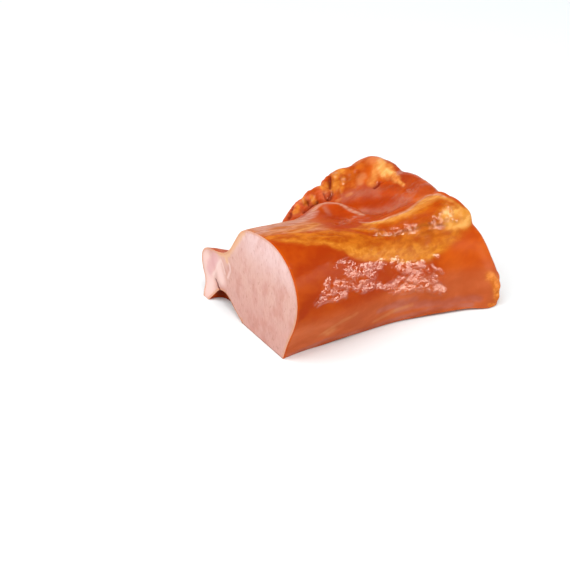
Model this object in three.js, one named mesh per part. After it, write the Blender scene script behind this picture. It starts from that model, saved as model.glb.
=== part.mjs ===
// A piece of smoked, cured pork loin: the eye muscle with one knife-cut face, a thin flap hanging
// beside it, and a ragged rear muscle that joins it towards the far end. It is one solid of meat.
//
// Millimetres, +Z up. While it is shaped, x runs along the grain from the cut face (x = 0) to the
// far end, y from the smooth front to the rear, and z = 0 is the plane that it rests on.

import * as THREE from "three";
import { ImprovedNoise } from "three/addons/math/ImprovedNoise.js";

// Driving dimensions
const LENGTH = 168; // cut face to far end
const CELL = 4.2; // spacing of the vertices over the surface

// Eye muscle: values at evenly spaced stations from the cut face to the far end
const EYE = {
  middleY: [25, 25, 24, 21, 15],
  middleZ: [36, 28, 16, 8, 4], // height of its widest line
  halfWidth: [43.5, 43, 41, 43.5, 56],
  topZ: [83.5, 77, 67, 62.5, 59], // height of the crown line
  footY: [-1, -4, -8.5, -23, -43], // where the front meets the resting plane
  footLean: [0.42, 0.42, 0.3, 0, -0.5], // how far the front overhangs the foot, for each mm up
  faceY: [-46, -32, -24, -26, -42], // where the flat of the front would meet the resting plane
  shoulderY: [49, 48, 50, 52, 52], // the rear shoulder, at its own height
  squareness: [2.5, 2.4, 2.3, 2.3, 2.2], // exponent of its section: 2 is an ellipse
};
const EYE_FULLNESS = { front: 1.45, rear: 1.05 }; // depth below its widest line, over that above it
const CROWN = { y: 17, fall: 0.3 }; // from this line the top falls towards the rear
const SHOULDER = { z: 70, lean: 0.675, round: 6 }; // the rear side leans out below the shoulder
const FOOT_ROUND = 6;
const FACE = { lean: 0.36, round: 8 }; // the flat of the front leans back, for each mm up

// Heel: close to the cut face, the eye's rear underside slopes up off the resting plane
const HEEL = { startY: 46, rise: 0.53, fall: 0.66, round: 5 };

// Far end: slopes out down to its waist line and bulges in the middle, with rounded edges
const END = { lean: 0.27, waistZ: 13, waistRound: 7, round: 12, bulge: 5, middle: [28, 24], reach: 66 };

// Flap beside the eye: a neck runs out of the eye to its root, and from there it hangs to a thin
// hem on the resting plane. Values at evenly spaced stations over the flap's own length.
const FLAP_LENGTH = 96;
const FLAP = {
  neckY: [60, 60, 60, 60],
  neckZ: [31, 13, 10, 10],
  neckRadius: [16, 16, 16, 18],
  rootY: [84.5, 81, 80, 84],
  rootZ: [25, 11, 9, 16],
  rootRadius: [13.8, 14, 14, 18],
  hemY: [88.8, 91, 95, 96],
  hemZ: [0, 1, 5, 8],
  hemRadius: [3.5, 5, 7, 9],
};
const FLAP_BLEND = 6;
const HEM_CURL = { forward: 4.5, middle: [0, 89, 0], reach: [26, 13, 13] }; // past the cut face
const WEB = { centre: [28, 76, 2], half: [21, 19, 15], turn: 0, blend: 6 }; // closes the space behind

// Rear muscle: lobes with centre, half sizes, turn about z and the rounding of their joint
const REAR_LOBES = [
  { centre: [122, 70, 26], half: [40, 36, 33], turn: -14, blend: 14 },
  { centre: [137, 38, 37.5], half: [27, 48, 34.5], turn: -8, blend: 12 },
  { centre: [133, 83, 49], half: [24, 16, 22], turn: -24, blend: 8 },
  { centre: [108, 90, 34], half: [14, 15, 32], turn: -20, blend: 5 },
  { centre: [90, 88.5, 26], half: [18.5, 15, 30.5], turn: -20, blend: 6 },
  { centre: [73, 90, 20], half: [13, 10, 25], turn: -20, blend: 6 },
];

// Bowl of membrane on top, between the eye and the rear muscle
const BOWL = { centre: [110, 53, 88], half: [37, 34, 31], turn: -14, blend: 7 };

// Fat roll along the top of the eye
const ROLL = { centre: [144, 9, 61], half: [60, 14, 11.5], turn: -7, blend: 5 };

// Fold of lean that rises from the shoulder and hooks round the near end of the bowl
const FOLD = {
  path: [[52, 47, 56], [66, 54, 58.5], [77, 54, 58], [85, 46, 56], [88, 35, 53], [84, 25, 52]],
  radius: 8,
  blend: 7.2,
  steps: 14,
};

// Crags of the rear muscle and the slow unevenness of the whole surface
const CRAG = { size: 14, depth: 7, level: 0.27, soft: 0.08, middle: [96, 90, 58], reach: 42 };
const UNEVEN = { size: 34, depth: 1.4, seed: 7 };

// Slope of the field: the step of its differences, and the least square that it is divided by
const SLOPE_STEP = 0.05;
const SLOPE_LEAST = 0.2;
const SLIDES = 4; // times a vertex is slid onto the surface
const SLIDE_MOST = 0.8 * CELL; // and how far in all

const noise = new ImprovedNoise();

// Smooth joint and smooth cut of two fields, rounded over r
function join(a, b, r) {
  const h = Math.max(r - Math.abs(a - b), 0) / r;
  return Math.min(a, b) - (h * h * r) / 4;
}

function cut(a, b, r) {
  return -join(-a, -b, r);
}

// Values that change smoothly along x through evenly spaced stations
function along(stations, length) {
  const curve = new THREE.SplineCurve(stations.map((value, i) => new THREE.Vector2(i, value)));
  const point = new THREE.Vector2();
  return (x) => curve.getPoint(THREE.MathUtils.clamp(x / length, 0, 1), point).y;
}

function alongAll(shape, length) {
  return Object.fromEntries(Object.entries(shape).map(([name, row]) => [name, along(row, length)]));
}

// Signed distance to an ellipsoid, near enough close to its surface
function ellipsoid(p, { centre, half, turn }) {
  const angle = THREE.MathUtils.degToRad(turn);
  const dx = p.x - centre[0];
  const dy = p.y - centre[1];
  const u = (dx * Math.cos(angle) + dy * Math.sin(angle)) / half[0];
  const v = (dy * Math.cos(angle) - dx * Math.sin(angle)) / half[1];
  const w = (p.z - centre[2]) / half[2];
  const scaled = Math.hypot(u, v, w);
  const slope = Math.hypot(u / half[0], v / half[1], w / half[2]);
  return slope ? (scaled * (scaled - 1)) / slope : -Math.min(...half);
}

// Distance across the grain to a bar that tapers from one round end to another
function taperedBar(p, startY, startZ, startRadius, endY, endZ, endRadius) {
  const dy = endY - startY;
  const dz = endZ - startZ;
  const t = ((p.y - startY) * dy + (p.z - startZ) * dz) / (dy * dy + dz * dz);
  const s = THREE.MathUtils.clamp(t, 0, 1);
  const radius = THREE.MathUtils.lerp(startRadius, endRadius, s);
  return Math.hypot(p.y - startY - s * dy, p.z - startZ - s * dz) - radius;
}

// Eye muscle
const eyeAt = alongAll(EYE, LENGTH);

function eyeField(p) {
  const a = eyeAt.halfWidth(p.x);
  const rise = p.z - eyeAt.middleZ(p.x);
  const above = eyeAt.topZ(p.x) - eyeAt.middleZ(p.x);
  const out = p.y - eyeAt.middleY(p.x);
  const below = above * (out < 0 ? EYE_FULLNESS.front : EYE_FULLNESS.rear);
  const b = rise < 0 ? below : above;
  const u = Math.abs(out / a);
  const w = Math.abs(rise / b);
  const power = eyeAt.squareness(p.x);
  const round = Math.pow(u ** power + w ** power, 1 / power);
  const section = (round - 1) * Math.min(a, above);
  const crown = (p.z - eyeAt.topZ(p.x) + CROWN.fall * (p.y - CROWN.y)) / Math.hypot(1, CROWN.fall);
  const side = p.y - eyeAt.shoulderY(p.x) + SHOULDER.lean * (p.z - SHOULDER.z);
  const shoulder = side / Math.hypot(1, SHOULDER.lean);
  const lean = eyeAt.footLean(p.x);
  const foot = (eyeAt.footY(p.x) - p.y - lean * p.z) / Math.hypot(1, lean);
  const face = (eyeAt.faceY(p.x) - p.y + FACE.lean * p.z) / Math.hypot(1, FACE.lean);
  const front = cut(cut(section, face, FACE.round), foot, FOOT_ROUND);
  const top = cut(crown, shoulder, SHOULDER.round);
  const under = HEEL.rise * (p.y - HEEL.startY) - HEEL.fall * p.x - p.z;
  const heel = under / Math.hypot(1, HEEL.rise, HEEL.fall);
  return cut(cut(front, top, SHOULDER.round), heel, HEEL.round);
}

// Round bar along the fold's path
const foldCurve = new THREE.CatmullRomCurve3(FOLD.path.map((point) => new THREE.Vector3(...point)));
const foldPoints = foldCurve.getPoints(FOLD.steps);
const foldSpans = foldPoints.slice(1).map((end, i) => new THREE.Line3(foldPoints[i], end));
const nearest = new THREE.Vector3();

function foldField(p) {
  const distances = foldSpans.map((span) => span.closestPointToPoint(p, true, nearest).distanceTo(p));
  return Math.min(...distances) - FOLD.radius;
}

// Flap
const flapAt = alongAll(FLAP, FLAP_LENGTH);

function flapField(p) {
  const root = [flapAt.rootY(p.x), flapAt.rootZ(p.x), flapAt.rootRadius(p.x)];
  const neck = [flapAt.neckY(p.x), flapAt.neckZ(p.x), flapAt.neckRadius(p.x)];
  const hem = [flapAt.hemY(p.x), flapAt.hemZ(p.x), flapAt.hemRadius(p.x)];
  const d = join(taperedBar(p, ...neck, ...root), taperedBar(p, ...root, ...hem), FLAP_BLEND);
  return cut(join(d, ellipsoid(p, WEB), WEB.blend), p.x - FLAP_LENGTH, root[2]);
}

// The flap's hem curls forward over the cut face, most at its middle
function curlHem(p) {
  const [cx, cy, cz] = HEM_CURL.middle;
  const [rx, ry, rz] = HEM_CURL.reach;
  const near = Math.max(0, 1 - Math.hypot((p.x - cx) / rx, (p.y - cy) / ry, (p.z - cz) / rz));
  p.x -= HEM_CURL.forward * THREE.MathUtils.smoothstep(near, 0, 1);
  return p;
}

// Far end
function endField(p) {
  const off = Math.hypot(p.y - END.middle[0], p.z - END.middle[1]) / END.reach;
  const slant = END.lean * Math.hypot(p.z - END.waistZ, END.waistRound);
  return p.x + slant + END.bulge * off * off - LENGTH;
}

// Noise of a given lump size, about -1 to 1
function lumps(p, size, seed = 0) {
  return noise.noise(p.x / size + seed, p.y / size, p.z / size);
}

// Crags fade out away from the rear muscle
function relief(p) {
  const [cx, cy, cz] = CRAG.middle;
  const away = Math.hypot(p.x - cx, p.y - cy, p.z - cz) / CRAG.reach;
  const strength = CRAG.depth * Math.max(0, 1 - away * away);
  const crag = strength ? strength * (CRAG.level - Math.hypot(lumps(p, CRAG.size), CRAG.soft)) : 0;
  return crag + UNEVEN.depth * lumps(p, UNEVEN.size, UNEVEN.seed);
}

// The whole surface, without its cut face and its base: negative inside
function meat(p) {
  let d = join(eyeField(p), flapField(p), FLAP_BLEND);
  for (const lobe of REAR_LOBES) d = join(d, ellipsoid(p, lobe), lobe.blend);
  d = cut(d, -ellipsoid(p, BOWL), BOWL.blend);
  d = join(d, ellipsoid(p, ROLL), ROLL.blend);
  d = join(d, foldField(p), FOLD.blend);
  d = cut(d, endField(p), END.round);
  return d + relief(p);
}

// The solid ends at the cut face and at the resting plane
function solid(p) {
  return Math.max(meat(p), -p.x, -p.z);
}

// Slope of the meat field
function slope(p) {
  const q = p.clone();
  const g = new THREE.Vector3();
  for (const k of ["x", "y", "z"]) {
    q[k] = p[k] + SLOPE_STEP;
    const high = meat(q);
    q[k] = p[k] - SLOPE_STEP;
    g[k] = (high - meat(q)) / (2 * SLOPE_STEP);
    q[k] = p[k];
  }
  return g;
}

// Closed surface over the field: one vertex in each grid cell that the surface passes through, and
// one quad across each grid edge that it crosses. The grid straddles the cut face and the base, so
// the vertices of those two layers lie in their planes, and their rims stay sharp.
function skinGeometry(low, high) {
  const count = low.map((v, k) => Math.ceil((high[k] - v) / CELL) + 1);
  const at = (i, j, k) => new THREE.Vector3(low[0] + i * CELL, low[1] + j * CELL, low[2] + k * CELL);
  const index = (i, j, k) => (i * count[1] + j) * count[2] + k;
  const values = new Float32Array(count[0] * count[1] * count[2]);
  for (let i = 0; i < count[0]; i++)
    for (let j = 0; j < count[1]; j++)
      for (let k = 0; k < count[2]; k++) values[index(i, j, k)] = solid(at(i, j, k));

  const positions = [];
  const vertexOf = new Map();
  function cellVertex(i, j, k) {
    const key = index(i, j, k);
    if (!vertexOf.has(key)) {
      vertexOf.set(key, positions.length / 3);
      positions.push(...curlHem(placeVertex(i, j, k)).toArray());
    }
    return vertexOf.get(key);
  }

  // Mean of the crossings on the cell's edges, then slid down the slope onto the surface
  function placeVertex(i, j, k) {
    const p = new THREE.Vector3();
    let crossings = 0;
    const corners = [];
    for (let c = 0; c < 8; c++) corners.push([i + (c & 1), j + ((c >> 1) & 1), k + ((c >> 2) & 1)]);
    for (let c = 0; c < 8; c++)
      for (const bit of [1, 2, 4]) {
        if (c & bit) continue;
        const va = values[index(...corners[c])];
        const vb = values[index(...corners[c | bit])];
        if (va < 0 === vb < 0) continue;
        p.add(at(...corners[c]).lerp(at(...corners[c | bit]), va / (va - vb)));
        crossings++;
      }
    p.divideScalar(crossings);
    const onCut = i === 0;
    const onBase = k === 0;
    if (onCut) p.x = 0;
    if (onBase) p.z = 0;
    const inner = corners.filter((corner) => (!onCut || corner[0] === 1) && (!onBase || corner[2] === 1));
    if ((onCut || onBase) && inner.every((corner) => values[index(...corner)] < 0)) return p;
    const start = p.clone();
    for (let step = 0; step < SLIDES; step++) {
      const g = slope(p);
      if (onCut) g.x = 0;
      if (onBase) g.z = 0;
      p.addScaledVector(g, -meat(p) / Math.max(g.lengthSq(), SLOPE_LEAST));
      p.sub(start).clampLength(0, SLIDE_MOST).add(start);
    }
    return p;
  }

  const triangles = [];
  function addQuad(a, b, c, d, flip) {
    const corner = (n) => new THREE.Vector3().fromArray(positions, n * 3);
    const short = corner(a).distanceTo(corner(c)) <= corner(b).distanceTo(corner(d));
    const split = short ? [a, b, c, a, c, d] : [a, b, d, b, c, d];
    triangles.push(...(flip ? split.reverse() : split));
  }

  // The four cells round a grid edge, as steps back from the edge's own cell
  const rounds = [
    { edge: [1, 0, 0], cells: [[0, 1, 1], [0, 0, 1], [0, 0, 0], [0, 1, 0]] },
    { edge: [0, 1, 0], cells: [[1, 0, 1], [1, 0, 0], [0, 0, 0], [0, 0, 1]] },
    { edge: [0, 0, 1], cells: [[1, 1, 0], [0, 1, 0], [0, 0, 0], [1, 0, 0]] },
  ];
  function addEdgeQuads(i, j, k) {
    const here = values[index(i, j, k)] < 0;
    for (const { edge, cells } of rounds) {
      const there = values[index(i + edge[0], j + edge[1], k + edge[2])] < 0;
      if (here === there) continue;
      addQuad(...cells.map(([di, dj, dk]) => cellVertex(i - di, j - dj, k - dk)), !here);
    }
  }
  for (let i = 0; i < count[0] - 1; i++)
    for (let j = 0; j < count[1] - 1; j++)
      for (let k = 0; k < count[2] - 1; k++) addEdgeQuads(i, j, k);

  const geometry = new THREE.BufferGeometry();
  geometry.setAttribute("position", new THREE.Float32BufferAttribute(positions, 3));
  geometry.setIndex(triangles);
  geometry.computeVertexNormals();
  return geometry;
}

// Corners of the grid, well clear of the meat, except at the cut face and the base
const GRID_LOW = [-CELL / 2, -50, -CELL / 2];
const GRID_HIGH = [LENGTH + 20, 130, 100];

// The finished piece stands on z = 0 with its middle over the origin
const geometry = skinGeometry(GRID_LOW, GRID_HIGH);
geometry.computeBoundingBox();
const middle = geometry.boundingBox.getCenter(new THREE.Vector3());

const smokedPork = new THREE.MeshStandardMaterial({ color: 0xc8561e, roughness: 0.35, metalness: 0 });
const pastrami = new THREE.Mesh(geometry, smokedPork);
pastrami.name = "pork_pastrami";
pastrami.position.set(-middle.x, -middle.y, 0);

const group = new THREE.Group();
group.add(pastrami);

export default group;
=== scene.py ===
import math

import bmesh
import bpy
import numpy as np
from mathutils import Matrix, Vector
from mathutils.kdtree import KDTree


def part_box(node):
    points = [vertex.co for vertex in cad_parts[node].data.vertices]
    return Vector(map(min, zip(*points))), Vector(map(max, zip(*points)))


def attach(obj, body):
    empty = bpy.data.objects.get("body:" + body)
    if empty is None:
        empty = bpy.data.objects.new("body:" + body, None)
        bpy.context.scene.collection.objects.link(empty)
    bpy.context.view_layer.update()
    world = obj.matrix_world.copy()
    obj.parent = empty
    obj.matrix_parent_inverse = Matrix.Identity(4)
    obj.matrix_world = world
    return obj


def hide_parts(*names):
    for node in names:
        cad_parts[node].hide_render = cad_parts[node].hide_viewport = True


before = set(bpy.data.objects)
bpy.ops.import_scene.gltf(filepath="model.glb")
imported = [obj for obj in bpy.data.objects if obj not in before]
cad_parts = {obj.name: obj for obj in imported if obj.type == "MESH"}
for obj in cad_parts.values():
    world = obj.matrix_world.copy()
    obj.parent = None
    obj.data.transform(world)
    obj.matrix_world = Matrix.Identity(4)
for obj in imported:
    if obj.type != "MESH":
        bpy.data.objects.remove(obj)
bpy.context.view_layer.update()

scene = bpy.context.scene
scene.view_settings.view_transform = "Standard"
scene.view_settings.look = "None"

# The loin's own measures in millimetres: x runs along the grain from the cut face,
# y from the smooth front to the craggy rear, and z up from the board.
loinLow = np.array([-4.065, -31.284, 0.0])
loinHigh = np.array([166.134, 106.546, 81.358])
boxLow, boxHigh = (np.array(corner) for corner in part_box("pork_pastrami"))
metresPerLoin = (boxHigh - boxLow) / (loinHigh - loinLow)
mmPerMetre = 1000.0


def toLoin(points):
    return (points - boxLow) / metresPerLoin + loinLow


def fromLoin(points):
    return (np.array(points) - loinLow) * metresPerLoin + boxLow


def linear(hexColour):
    parts = [int(hexColour[i:i + 2], 16) / 255 for i in (1, 3, 5)]
    return [c / 12.92 if c <= 0.04045 else ((c + 0.055) / 1.055) ** 2.4 for c in parts] + [1.0]


def addNode(tree, kind, settings=None, inputs=None):
    node = tree.nodes.new(kind)
    for name, value in (settings or {}).items():
        setattr(node, name, value)
    for key, value in (inputs or {}).items():
        if isinstance(value, bpy.types.NodeSocket):
            tree.links.new(value, node.inputs[key])
        else:
            node.inputs[key].default_value = value
    return node


def newMaterial(name):
    material = bpy.data.materials.new(name)
    material.use_nodes = True
    material.node_tree.nodes.clear()
    return material, material.node_tree


def smooth(value, low, high):  # 0 at low, 1 at high, eased between
    t = np.clip((value - low) / (high - low), 0.0, 1.0)
    return t * t * (3.0 - 2.0 * t)


def fade(value, low, high):  # 1 at low, 0 at high
    return 1.0 - smooth(value, low, high)


def alongX(x, points):  # reads a row of pairs of x and value
    return np.interp(x, *zip(*points))


def nearestOnPath(points, path):  # how far the path is from each point, and where it is nearest
    path = np.array(path, dtype=float)
    spot = np.repeat(path[:1], len(points), axis=0)
    best = np.linalg.norm(points - spot, axis=1)
    for start, end in zip(path[:-1], path[1:]):
        run = end - start
        share = np.clip((points - start) @ run / (run @ run), 0.0, 1.0)
        place = start + share[:, None] * run
        away = np.linalg.norm(points - place, axis=1)
        spot = np.where((away < best)[:, None], place, spot)
        best = np.minimum(best, away)
    return best, spot


def pathDistance(points, path):
    return nearestOnPath(points, path)[0]


# Camera, at the photograph's angle
cameraPlan = {
    "azimuth": -33.8,
    "elevation": 33.0,
    "distance": 1.02,
    "lens": 92.0,
    "clip": (0.01, 20.0),
    "target": (50.3, 71.5, 0.0),  # in the loin's millimetres
}


def makeCamera(plan):
    azimuth, elevation = math.radians(plan["azimuth"]), math.radians(plan["elevation"])
    back = Vector((math.sin(azimuth) * math.cos(elevation),
                   -math.cos(azimuth) * math.cos(elevation), math.sin(elevation)))
    data = bpy.data.cameras.new("photo_camera")
    data.lens = plan["lens"]
    data.clip_start, data.clip_end = plan["clip"]
    camera = bpy.data.objects.new("photo_camera", data)
    scene.collection.objects.link(camera)
    camera.location = Vector(fromLoin(plan["target"])) + back * plan["distance"]
    camera.rotation_euler = (-back).to_track_quat("-Z", "Y").to_euler()
    scene.camera = camera


makeCamera(cameraPlan)
print("camera placed")


# Floor and light
floorPlan = {"size": 6.0, "colour": "#eef4f5", "roughness": (0.52, 0.58), "grain": 3.0}  # grain in mm
skyPlan = {"colour": "#ffffff", "strength": 0.44, "glossStrength": 0.14}
lightPlan = [
    # name, azimuth, elevation, distance, width, height, watts, whether it lights the surfaces themselves,
    # whether it shows in their gloss
    ("overhead_softbox", -60.0, 66.0, 1.7, 1.6, 1.6, 22.0, True, False),
    ("front_fill", 0.0, 60.0, 1.7, 1.2, 1.2, 8.5, True, False),
    ("right_fill", 58.0, 24.0, 1.6, 0.9, 0.6, 3.6, True, False),
    ("left_softbox", -120.0, 34.0, 1.5, 0.9, 0.9, 8.0, True, True),
    ("front_right_panel", 34.0, 11.0, 1.5, 1.35, 0.5, 32.0, False, True),
    ("front_spot", 10.0, 27.0, 1.5, 0.3, 0.3, 8.0, False, True),
    ("upper_right_spot", 42.0, 56.0, 1.5, 0.35, 0.35, 12.0, False, True),
    ("rear_panel", 150.0, 15.0, 1.6, 1.6, 0.8, 4.5, False, True),
]
lightAim = (75.0, 30.0, 35.0)  # in the loin's millimetres
lightTint = "#ffffff"
glossTint = "#ffeadb"  # of the lights that show in gloss alone


def makeFloor(plan):
    half = plan["size"] / 2
    mesh = bpy.data.meshes.new("floor")
    corners = [(-half, -half, 0), (half, -half, 0), (half, half, 0), (-half, half, 0)]
    mesh.from_pydata(corners, [], [(0, 1, 2, 3)])
    floor = bpy.data.objects.new("floor", mesh)
    scene.collection.objects.link(floor)
    # Matte white board: an even, bright ground with barely any grain
    material, tree = newMaterial("matte_white_board")
    place = addNode(tree, "ShaderNodeTexCoord")
    grain = addNode(tree, "ShaderNodeTexNoise", {}, {
        "Vector": place.outputs["Object"], "Scale": mmPerMetre / plan["grain"], "Detail": 2.0})
    tone = addNode(tree, "ShaderNodeMapRange", {}, {
        "Value": grain.outputs[0], "To Min": plan["roughness"][0], "To Max": plan["roughness"][1]})
    shader = addNode(tree, "ShaderNodeBsdfPrincipled", {}, {
        "Base Color": linear(plan["colour"]), "Roughness": tone.outputs[0], "Specular IOR Level": 0.2})
    addNode(tree, "ShaderNodeOutputMaterial", {}, {"Surface": shader.outputs[0]})
    mesh.materials.append(material)


def makeSky(plan):
    world = bpy.data.worlds.new("white_tent")
    world.use_nodes = True
    tree = world.node_tree
    tree.nodes.clear()
    path = addNode(tree, "ShaderNodeLightPath")
    strength = addNode(tree, "ShaderNodeMapRange", {}, {
        "Value": path.outputs["Is Glossy Ray"], "To Min": plan["strength"], "To Max": plan["glossStrength"]})
    sky = addNode(tree, "ShaderNodeBackground", {}, {
        "Color": linear(plan["colour"]), "Strength": strength.outputs[0]})
    addNode(tree, "ShaderNodeOutputWorld", {}, {"Surface": sky.outputs[0]})
    scene.world = world


def makeLights(plan):
    aim = Vector(fromLoin(lightAim))
    for name, azimuth, elevation, distance, width, height, watts, inMatter, inGloss in plan:
        a, e = math.radians(azimuth), math.radians(elevation)
        away = Vector((math.sin(a) * math.cos(e), -math.cos(a) * math.cos(e), math.sin(e)))
        data = bpy.data.lights.new(name, "AREA")
        data.shape = "RECTANGLE"
        data.size, data.size_y, data.energy = width, height, watts
        data.color = linear(lightTint if inMatter else glossTint)[:3]
        light = bpy.data.objects.new(name, data)
        scene.collection.objects.link(light)
        light.location = aim + away * distance
        light.rotation_euler = (-away).to_track_quat("-Z", "Y").to_euler()
        light.visible_diffuse, light.visible_glossy = inMatter, inGloss


makeFloor(floorPlan)
makeSky(skyPlan)
makeLights(lightPlan)
print("floor and", len(lightPlan), "lights placed")


# The meat's mesh, refined from the CAD solid
meshPlan = {
    "merge": 1e-6,  # metres
    "cutReach": 0.3,  # mm behind the cut plane that still count as on it
    "cutFacing": -0.7,  # x of a normal, under which a face there is part of the cut
    "flat": 1e-5,  # metres off the board that still count as on it
    "joinFaces": 70.0,  # degrees between two triangles that are joined to a quad
    "joinShape": 60.0,  # degrees that such a quad may be off square
    "levels": 2,
}
skinKind, cutKind, baseKind = 0, 1, 2  # material slots that tell the faces apart


def plainMesh(holder, name):  # bakes an object's modifiers into a mesh and drops the object
    graph = bpy.context.evaluated_depsgraph_get()
    graph.update()
    mesh = bpy.data.meshes.new_from_object(holder.evaluated_get(graph), depsgraph=graph)
    mesh.name = name
    old = holder.data
    bpy.data.objects.remove(holder)
    bpy.data.meshes.remove(old)
    return mesh


def refinedMesh(plan):
    mesh = bmesh.new()
    mesh.from_mesh(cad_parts["pork_pastrami"].data)
    bmesh.ops.remove_doubles(mesh, verts=mesh.verts, dist=plan["merge"])
    mesh.normal_update()
    cutPlane = fromLoin((plan["cutReach"], 0, 0))[0]
    for face in mesh.faces:
        onCut = face.normal.x < plan["cutFacing"] and all(v.co.x < cutPlane for v in face.verts)
        onBase = all(abs(v.co.z - boxLow[2]) < plan["flat"] for v in face.verts)
        face.material_index = cutKind if onCut else baseKind if onBase else skinKind
        face.smooth = True
    bmesh.ops.join_triangles(mesh, faces=mesh.faces, cmp_materials=True,
                             angle_face_threshold=math.radians(plan["joinFaces"]),
                             angle_shape_threshold=math.radians(plan["joinShape"]))
    crease = mesh.edges.layers.float.new("crease_edge")
    for edge in mesh.edges:
        rim = len({face.material_index for face in edge.link_faces}) > 1
        edge[crease] = 1.0 if rim else 0.0
        edge.smooth = not rim
    coarse = bpy.data.meshes.new("loin_coarse")
    mesh.to_mesh(coarse)
    mesh.free()
    for _ in (skinKind, cutKind, baseKind):
        coarse.materials.append(None)
    holder = bpy.data.objects.new("loin_coarse", coarse)
    scene.collection.objects.link(holder)
    rounder = holder.modifiers.new("rounder", "SUBSURF")
    rounder.levels = rounder.render_levels = plan["levels"]
    return plainMesh(holder, "loin_fine")


fineMesh = refinedMesh(meshPlan)
print("refined mesh has", len(fineMesh.vertices), "vertices and", len(fineMesh.polygons), "faces")


# Where each tissue lies, all in the loin's millimetres. The fat cap's edges are given by angles about
# the eye's middle, 180 at the front and 90 on top.
capPlan = {
    "middle": (20.0, 36.0),  # y and z
    "soft": [(100, 7.0), (135, 12.0)],  # degrees over which the fat gives way, along x
    "low": [(0, 91), (2, 93.5), (6, 100), (13, 105.5), (21, 110), (29, 112), (37, 116.5), (45, 123.3),
            (50, 130.6), (56, 136.2), (64, 141.3), (73, 145.8), (83, 153.4), (93, 161.6), (103, 166),
            (111, 170.2), (117, 166.9), (123, 162.1), (129, 157.2), (138, 151.2), (144, 146.8),
            (149, 143.8), (168, 138)],
    "seam": [(0, 89.5), (15, 96), (26, 101), (36, 106), (46, 110), (59, 114), (70, 114), (79, 118.2),
             (85, 120.6), (93, 124.2), (101, 124.2), (109, 125.8), (113, 126.1), (120, 130), (127, 135),
             (133, 138.5), (139, 140.8), (146, 142.1), (168, 137)],
    "high": [(0, 87), (15, 90), (26, 94), (36, 97), (46, 99), (59, 99.7), (70, 98), (76, 92), (79, 84),
             (83, 88), (90, 97.3), (100, 102), (107, 103.2), (113, 101.6), (123, 93.4), (131, 88.3),
             (134, 90), (136, 96.5), (139, 105.5), (142, 115.9), (145, 125.4), (149, 140), (168, 136)],
    "end": (147.0, 154.0),  # x over which the fat ends
    "brightShare": (0.15, 0.8),  # of the way from low to seam, over which the bright lower edge fades
    "brightAlong": [(0, 0.7), (30, 0.85), (55, 1.1), (108, 1.1), (135, 0.5)],  # its strength along x
    "rollShare": (0.5, 0.95),  # of the way from seam to high, over which the roll's light edge comes in
    "rollStart": (76.0, 86.0),  # x over which that edge starts
}
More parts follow.
